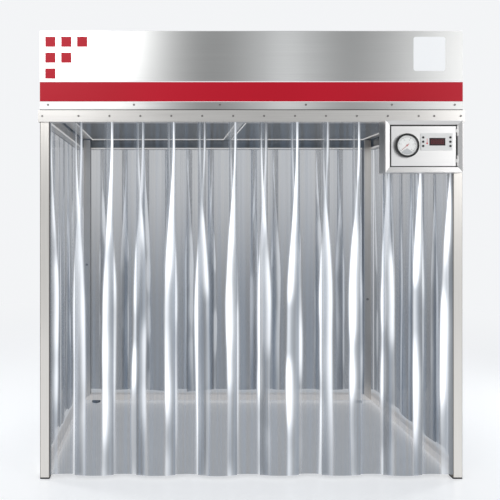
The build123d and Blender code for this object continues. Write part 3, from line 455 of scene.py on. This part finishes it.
# Fans: a galvanised deck and straps carry two black motors, each with an aluminium impeller
# that draws air through the prefilters.
spangle_size = 1 / 60
zinc, tree, shader = finish("galvanised", (0.6, 0.62, 0.63), 0.42, 1.0)
spangle = tree.nodes.new("ShaderNodeTexVoronoi")
spangle.inputs["Scale"].default_value = 1.0
spangle_place = (1 / spangle_size, 1 / spangle_size, 1 / spangle_size)
tree.links.new(stretched(tree, own_place(tree), spangle_place), spangle.inputs["Vector"])
zinc_colour = blend_colours(tree, spangle.outputs["Distance"], (0.45, 0.47, 0.48), (0.72, 0.74, 0.75))
tree.links.new(zinc_colour, shader.inputs["Base Color"])
dress(zinc, "fan_deck", "fan_straps")
dress(matted("black motor paint", (0.02, 0.02, 0.02), (0.38, 0.55), 150), "fan_motors")
aluminium = brushed("rolled aluminium", (0.6, 0.6, 0.61), (0.85, 0.85, 0.86), (30, 300, 300), 0.35)
dress(aluminium, "left_impeller", "right_impeller")


# Strip curtains: clear soft PVC of a stock width, cut to length and hung in two lapped layers
# under the clamp bars. Each strip bellies a little. Painted highlights, white streaks that stand for light
# caught in creases, fan out from every lap, and the film glows along them.
strip_wide = 0.2
strip_pitch = 0.159
outer_layer = -0.003
inner_layer = -0.001
belly_deep = 0.015
curl_deep = 0.055
curl_high = 0.15
squares_across = 16
squares_down = 64

# Painted light of the creases: highlight streaks, and a sheen near each lap, for the film's colour, glow
# and alpha. U counts the strips and V runs from foot to top.
crease_effect, taken_in, put_out = new_effect(
    "crease sheen", {"UV": "Vector"}, ("PaintedHighlight", "LapSheen", "Edge", "Down", "Bands"))
spot = crease_effect.nodes.new("ShaderNodeSeparateXYZ")
crease_effect.links.new(taken_in["UV"], spot.inputs[0])
u, v = spot.outputs["X"], spot.outputs["Y"]
from_edge = calc(crease_effect, "PINGPONG", u, 0.5)
half_strip = calc(crease_effect, "FLOOR", calc(crease_effect, "MULTIPLY", u, 2.0))
down = calc(crease_effect, "SUBTRACT", 1.0, v)


def flat_place(tree, x, y):
    node = tree.nodes.new("ShaderNodeCombineXYZ")
    tree.links.new(x, node.inputs["X"])
    tree.links.new(y, node.inputs["Y"])
    return node.outputs[0]


def bell(tree, value):
    """One where the value is nought, falling off smoothly to both sides."""
    return calc(tree, "POWER", 2.718, calc(tree, "MULTIPLY", value, value, -1.0))


each_crease = calc(crease_effect, "MULTIPLY", half_strip, 3.71)
crease_place = flat_place(crease_effect, each_crease, calc(crease_effect, "MULTIPLY", v, 1.5))
sway = noise(crease_effect, crease_place, 1.0, 1.0)
fade = noise(crease_effect, crease_place, 2.3, 1.0)
off_line = calc(crease_effect, "SUBTRACT", sway, 0.5)
wander = calc(crease_effect, "MULTIPLY", off_line, down, 0.34)
fan_out = remap(crease_effect, v, 0.93, 0.45, 0.05, 0.24, smooth=True)
widening = remap(crease_effect, v, 0.9, 0.55, 0.03, 0.105, smooth=True)
crease_wide = calc(crease_effect, "MULTIPLY", widening, calc(crease_effect, "ADD", fade, 0.55))
gap = calc(crease_effect, "SUBTRACT", from_edge, calc(crease_effect, "ADD", fan_out, wander))
gap = calc(crease_effect, "DIVIDE", gap, crease_wide)
past = calc(crease_effect, "GREATER_THAN", gap, 0.0)
crisp = calc(crease_effect, "ADD", calc(crease_effect, "MULTIPLY", past, 1.6), 1.0)
line = bell(crease_effect, calc(crease_effect, "MULTIPLY", gap, crisp))
right_half = calc(crease_effect, "MODULO", calc(crease_effect, "ADD", half_strip, 100.0), 2.0)
leg = calc(crease_effect, "ADD", calc(crease_effect, "MULTIPLY", right_half, 0.5), 0.5)
strong = remap(crease_effect, fade, 0.36, 0.56, 0.5, 1.6, smooth=True)
from_foot = remap(crease_effect, v, 0.0, 0.35, 0.35, 1.0, smooth=True)
from_top = remap(crease_effect, v, 0.97, 0.86, 0.35, 1.0, smooth=True)
lit = calc(crease_effect, "MULTIPLY", line, strong, leg, from_foot, from_top)
crease_effect.links.new(calc(crease_effect, "MINIMUM", lit, 1.0), put_out["PaintedHighlight"])
near_lap = calc(crease_effect, "DIVIDE", calc(crease_effect, "SUBTRACT", from_edge, 0.08), 0.16)
glow = calc(crease_effect, "MULTIPLY", bell(crease_effect, near_lap), sway, leg)
crease_effect.links.new(glow, put_out["LapSheen"])
crease_effect.links.new(remap(crease_effect, from_edge, 0.004, 0.014, 1.0, 0.0), put_out["Edge"])
crease_effect.links.new(down, put_out["Down"])
thread_u = calc(crease_effect, "MULTIPLY", u, 9.0)
threads = flat_place(crease_effect, thread_u, calc(crease_effect, "MULTIPLY", v, 0.7))
crease_effect.links.new(noise(crease_effect, threads, 1.0, 2.0), put_out["Bands"])

pvc, tree, shader = finish("clear PVC", (0.5, 0.6, 0.7), 0.12)
uv_map = tree.nodes.new("ShaderNodeUVMap")
crease = add_effect(tree, crease_effect, UV=uv_map.outputs[0])
# Painted highlights: the film's colour goes to white along the streaks and near the laps.
bright = calc(tree, "ADD", calc(tree, "MULTIPLY", crease["LapSheen"], 0.55), crease["PaintedHighlight"])
bright = calc(tree, "MINIMUM", bright, 1.0)
banded = remap(tree, crease["Bands"], 0.35, 0.65, 0.0, 1.0, smooth=True)
tint = blend_colours(tree, banded, (0.03, 0.042, 0.06), (0.11, 0.155, 0.22))
clear_colour = blend_colours(tree, bright, tint, (0.93, 0.96, 1.0))
tree.links.new(clear_colour, shader.inputs["Base Color"])
slant = tree.nodes.new("ShaderNodeLayerWeight")
slant.inputs["Blend"].default_value = 0.5
grazing = calc(tree, "POWER", slant.outputs["Facing"], 2.0)
# How much the film hides what lies behind: more toward the foot, so the booth looks darker toward the
# bottom, and more along the painted highlights and lap sheen so that they show.
film_cover = remap(tree, crease["Down"], 0.1, 0.7, 0.26, 0.54, smooth=True)
for value, share in (
    (banded, 0.07), (crease["PaintedHighlight"], 0.66), (grazing, 0.2), (crease["LapSheen"], 0.22),
    (crease["Edge"], 0.3),
):
    film_cover = calc(tree, "ADD", film_cover, calc(tree, "MULTIPLY", value, share))
tree.links.new(calc(tree, "MINIMUM", film_cover, 0.93), shader.inputs["Alpha"])
# Painted glow: the film gives off white light along the highlight streaks.
glint = blend_colours(tree, crease["PaintedHighlight"], (0, 0, 0), (0.95, 0.97, 1.0))
tree.links.new(glint, shader.inputs["Emission Color"])
shader.inputs["Emission Strength"].default_value = 0.5


def stand_off(strip, drop, over):
    """How far a strip stands off its rail, from none at the clamp to all at its foot."""
    belly = drop * drop * (3 - 2 * drop)
    arc = 1 - (2 * over - 1) ** 2
    wave = 0.5 + 0.5 * math.sin(1.7 * strip + 5.2 * drop + 2.6 * over)
    return belly * (0.84 * arc + 0.16 * wave * (0.35 + 0.65 * arc))


def exact_box(name):
    return [[round(c, 6) for c in corner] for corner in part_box(name)]


for wall, turn in (("front", 0), ("rear", 180), ("left", -90), ("right", 90)):
    low, high = exact_box(f"{wall}_strips")
    rail_low, rail_high = exact_box(f"{wall}_hanging_rail")
    clamp_low = exact_box(f"{wall}_clamp_bar")[0][2]
    run = 0 if wall in ("front", "rear") else 1
    seat = Vector(((low[0] + high[0]) / 2, (low[1] + high[1]) / 2, 0))
    seat[1 - run] = (rail_low if wall in ("front", "left") else rail_high)[1 - run]
    place = Matrix.Translation(seat) @ Euler((0, 0, math.radians(turn))).to_matrix().to_4x4()
    span, foot, top = high[run] - low[run], low[2], high[2]
    lap = strip_wide - strip_pitch
    whole = int((span - lap) / strip_pitch)
    right_edges = [span / 2 - i * strip_pitch for i in reversed(range(whole))]
    strips = [(right - strip_wide, right) for right in right_edges]
    strips.insert(0, (-span / 2, strips[0][0] + lap))
    curled = {8: 1, 10: 0} if wall == "rear" else {}
    points, faces, uvs = [], [], []
    for i, (left, right) in enumerate(strips):
        outer = i % 2 == 1
        layer_y = outer_layer if outer else inner_layer
        bow = belly_deep * (0.8 + 0.2 * math.cos(2.4 * i)) * (right - left) / strip_wide
        first = len(points)
        for row in range(squares_down + 1):
            z = foot + (top - foot) * row / squares_down
            drop = min(1.0, max(0.0, (clamp_low - z) / (clamp_low - foot)))
            for column in range(squares_across + 1):
                over = column / squares_across
                y = layer_y + bow * stand_off(i, drop, over) * (-1 if outer else 1)
                if i in curled:
                    to_corner = over if curled[i] else 1 - over
                    y += curl_deep * max(0.0, 1 - (z - foot) / curl_high) ** 1.6 * to_corner ** 2
                points.append(place @ Vector((left + (right - left) * over, y, z)))
                uvs.append((i + 0.001 + 0.998 * over, (z - foot) / (top - foot)))
        wide = squares_across + 1
        for row in range(squares_down):
            for column in range(squares_across):
                a = first + row * wide + column
                faces.append((a, a + 1, a + wide + 1, a + wide))
    name = f"{wall}_clear_strips"
    curtain = make_piece(name, points, faces, pvc, "booth", smooth=True)
    uv_layer = curtain.data.uv_layers.new(name="UVMap")
    for loop in curtain.data.loops:
        uv_layer.data[loop.index].uv = uvs[loop.vertex_index]
    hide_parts(f"{wall}_strips")


# Instrument box: a folded stainless case on a bracket screwed to the right front post. Its
# door swings on two pinned hinges at the right, and all of it is brushed crosswise.
box_steel = brushed("box stainless", (0.55, 0.54, 0.53), (0.85, 0.84, 0.83), (5, 500, 500), 0.28)
door_steel = brushed("door stainless", (0.74, 0.73, 0.72), (0.90, 0.89, 0.88), (5, 600, 600), 0.34)
dress(box_steel, "instrument_box", "box_bracket", "hinge_leaves")
dress(door_steel, "instrument_door", "hinge_knuckles")


# Pressure gauge: a black moulded case in the door, with a white printed dial, a red pointer
# and flat glass. The dial has plain ticks, the numbers 0 to 5 and a grey sector at its foot.
black = matted("black moulding", (0.012, 0.012, 0.012), (0.22, 0.36), 250)
dress(black, "gauge_case", *[f"button_{i}" for i in range(1, 7)])
dress(mottled("dial white", (0.84, 0.84, 0.82), (0.92, 0.92, 0.90), 120, 0.5), "gauge_dial")
dress(mottled("pointer red", (0.40, 0.02, 0.015), (0.52, 0.04, 0.03), 200, 0.4), "gauge_needle")
glass, tree, shader = finish("gauge glass", (0.97, 0.98, 0.98), 0.03)
shader.inputs["Alpha"].default_value = 0.12
dress(glass, "gauge_lens")
ink = matted("dial ink", (0.03, 0.03, 0.03), (0.5, 0.7), 200)
grey_ink = matted("dial grey ink", (0.45, 0.46, 0.47), (0.5, 0.7), 200)
scale_start = 221
scale_sweep = 262
numbers = 5
ticks = 50
tick_outside = 0.044
long_tick, long_half_width = 0.008, 0.0007
short_tick, short_half_width = 0.004, 0.00035
number_out = 0.0295
number_high = 0.009
sector_from, sector_to, sector_steps = 228, 312, 16
sector_point = 0.014
print_stand = 0.0002
low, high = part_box("gauge_dial")
dial = Vector(((low[0] + high[0]) / 2, low[1] - print_stand, (low[2] + high[2]) / 2))


def outwards(degrees):
    """The direction from the dial's middle at an angle from its right-hand side."""
    return Vector((math.cos(math.radians(degrees)), 0, math.sin(math.radians(degrees))))


points, faces = [], []
for i in range(ticks + 1):
    angle = scale_start - scale_sweep * i / ticks
    long = i % (ticks // numbers) == 0
    half = outwards(angle + 90) * (long_half_width if long else short_half_width)
    outer = dial + outwards(angle) * tick_outside
    inner = dial + outwards(angle) * (tick_outside - (long_tick if long else short_tick))
    first = len(points)
    points += [inner - half, outer - half, outer + half, inner + half]
    faces.append((first, first + 1, first + 2, first + 3))
make_piece("dial_ticks", points, faces, ink, "door")
for i in range(numbers + 1):
    text = bpy.data.curves.new(f"dial_number_{i}", "FONT")
    text.body = str(i)
    text.size = number_high
    text.align_x = "CENTER"
    text.align_y = "CENTER"
    text.materials.append(ink)
    number = bpy.data.objects.new(f"dial_number_{i}", text)
    number.location = dial + outwards(scale_start - scale_sweep * i / numbers) * number_out
    number.rotation_euler = (math.radians(90), 0, 0)
    bpy.context.scene.collection.objects.link(number)
    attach(number, "door")
under_ink = dial + Vector((0, print_stand / 2, 0))
points, faces = [under_ink - Vector((0, 0, sector_point))], []
for i in range(sector_steps + 1):
    angle = sector_from + (sector_to - sector_from) * i / sector_steps
    points.append(under_ink + outwards(angle) * tick_outside)
for i in range(sector_steps):
    faces.append((0, i + 1, i + 2))
make_piece("dial_shade", points, faces, grey_ink, "door")


# Controller: a light grey moulded plate clipped into the door, with a dark red display, a red
# mark and six black buttons. The display shows four plain digits with all segments on.
dress(matted("controller plate", (0.72, 0.72, 0.71), (0.38, 0.52), 250), "controller_case")
window_dark, window_light = (0.012, 0.002, 0.003), (0.03, 0.004, 0.007)
dress(mottled("display window", window_dark, window_light, 60, 0.15, coat=0.4), "display_window")
segment = mottled("display segments", (0.13, 0.004, 0.01), (0.22, 0.01, 0.02), 200, 0.3)
digits = 4
digit_pitch = 0.0165
digit_half_wide = 0.0052
digit_half_high = 0.010
segment_half_thick = 0.0009
low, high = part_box("display_window")
window = Vector(((low[0] + high[0]) / 2, low[1], (low[2] + high[2]) / 2))
points, faces = [], []
for i in range(digits):
    digit_x = window.x + (i - (digits - 1) / 2) * digit_pitch
    flat = [(0, dz, 0.0042, segment_half_thick) for dz in (digit_half_high, 0, -digit_half_high)]
    upright_pairs = [(-digit_half_wide, 0.005), (digit_half_wide, 0.005)]
    upright_pairs += [(-digit_half_wide, -0.005), (digit_half_wide, -0.005)]
    tall = [(dx, dz, segment_half_thick, 0.0040) for dx, dz in upright_pairs]
    for dx, dz, half_wide, half_high in flat + tall:
        x, z = digit_x + dx, window.z + dz
        corner = (x - half_wide, window.y - print_stand, z - half_high)
        add_bar(points, faces, corner, (x + half_wide, window.y, z + half_high))
make_piece("display_segments", points, faces, segment, "door")

mark = matted("red mark", (0.6, 0.01, 0.015), (0.3, 0.42), 200)
mark_from_window = -0.051
mark_line_half = 0.001
mark_line_low, mark_line_high = -0.004, 0.016
mark_dot_radius = 0.0042
mark_dot_down = 0.008
dot_corners = 20
plate_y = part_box("controller_case")[0][1]
mark_x = window.x + mark_from_window
points, faces = [], []
corner = (mark_x - mark_line_half, plate_y - print_stand, window.z + mark_line_low)
add_bar(points, faces, corner, (mark_x + mark_line_half, plate_y, window.z + mark_line_high))
first = len(points)
dot = Vector((mark_x, plate_y - print_stand, window.z - mark_dot_down))
for i in range(dot_corners):
    points.append(dot + outwards(360 * i / dot_corners) * mark_dot_radius)
faces.append(tuple(range(first, first + dot_corners)))
make_piece("red_mark", points, faces, mark, "door")


# Studio: one wide pale floor that fades into a background of the same paper white, soft
# boxes round the booth, and an even grey air that lights the steel from all sides.
paper_white = (0.90, 0.91, 0.925, 1)
floor_reach = 40
floor_drop = 0.0005
fade_from, fade_to = 1.2, 6.0
ground, tree, shader = finish("pale floor", (0.62, 0.63, 0.64), 0.4)
shader.inputs["Emission Color"].default_value = (0.97, 0.98, 1.0, 1)
shader.inputs["Emission Strength"].default_value = 0.42
tree.links.new(remap(tree, speckle(tree, (1, 1, 1)), 0, 1, 0.3, 0.42), shader.inputs["Roughness"])
distance = tree.nodes.new("ShaderNodeVectorMath")
distance.operation = "LENGTH"
tree.links.new(own_place(tree), distance.inputs[0])
far_off = remap(tree, distance.outputs["Value"], fade_from, fade_to, 0.0, 1.0, smooth=True)
seen = tree.nodes.new("ShaderNodeLightPath").outputs["Is Camera Ray"]
paper = tree.nodes.new("ShaderNodeEmission")
paper.inputs["Color"].default_value = paper_white
fading = tree.nodes.new("ShaderNodeMixShader")
tree.links.new(calc(tree, "MULTIPLY", far_off, seen), fading.inputs[0])
tree.links.new(shader.outputs[0], fading.inputs[1])
tree.links.new(paper.outputs[0], fading.inputs[2])
tree.links.new(fading.outputs[0], tree.nodes["Material Output"].inputs["Surface"])
mesh = bpy.data.meshes.new("studio")
corners = ((-1, -1), (1, -1), (1, 1), (-1, 1))
mesh.from_pydata([(x * floor_reach, y * floor_reach, -floor_drop) for x, y in corners], [], [(0, 1, 2, 3)])
mesh.materials.append(ground)
studio = bpy.data.objects.new("studio", mesh)
bpy.context.scene.collection.objects.link(studio)


def softbox(name, place, aim, wide, high, power):
    light = bpy.data.lights.new(name, "AREA")
    light.shape = "RECTANGLE"
    light.size = wide
    light.size_y = high
    light.energy = power
    lamp = bpy.data.objects.new(name, light)
    lamp.location = place
    lamp.rotation_euler = (Vector(aim) - Vector(place)).to_track_quat("-Z", "Y").to_euler()
    bpy.context.scene.collection.objects.link(lamp)


booth_middle = (0, 0, 1.2)
softbox("key", (-2.2, front_y - 3.2, 3.6), booth_middle, 2.6, 1.6, 55)
softbox("fill", (3.2, front_y - 2.6, 2.6), booth_middle, 1.6, 2.4, 28)
softbox("back", (0, 4.2, 3.8), (0, 0.4, 0.8), 4.0, 1.6, 45)
softbox("tall left", (-3.0, 0.2, 1.4), booth_middle, 0.4, 2.6, 22)
softbox("tall right", (3.0, 0.4, 1.4), booth_middle, 0.4, 2.6, 22)

world = bpy.data.worlds.new("studio air")
bpy.context.scene.world = world
world.use_nodes = True
tree = world.node_tree
air = tree.nodes["Background"]
air.inputs["Color"].default_value = (0.86, 0.88, 0.90, 1)
air.inputs["Strength"].default_value = 0.6
background = tree.nodes.new("ShaderNodeBackground")
background.inputs["Color"].default_value = paper_white
choose = tree.nodes.new("ShaderNodeMixShader")
tree.links.new(tree.nodes.new("ShaderNodeLightPath").outputs["Is Camera Ray"], choose.inputs[0])
tree.links.new(air.outputs[0], choose.inputs[1])
tree.links.new(background.outputs[0], choose.inputs[2])
tree.links.new(choose.outputs[0], tree.nodes["World Output"].inputs["Surface"])

bpy.context.scene.view_settings.view_transform = "Standard"
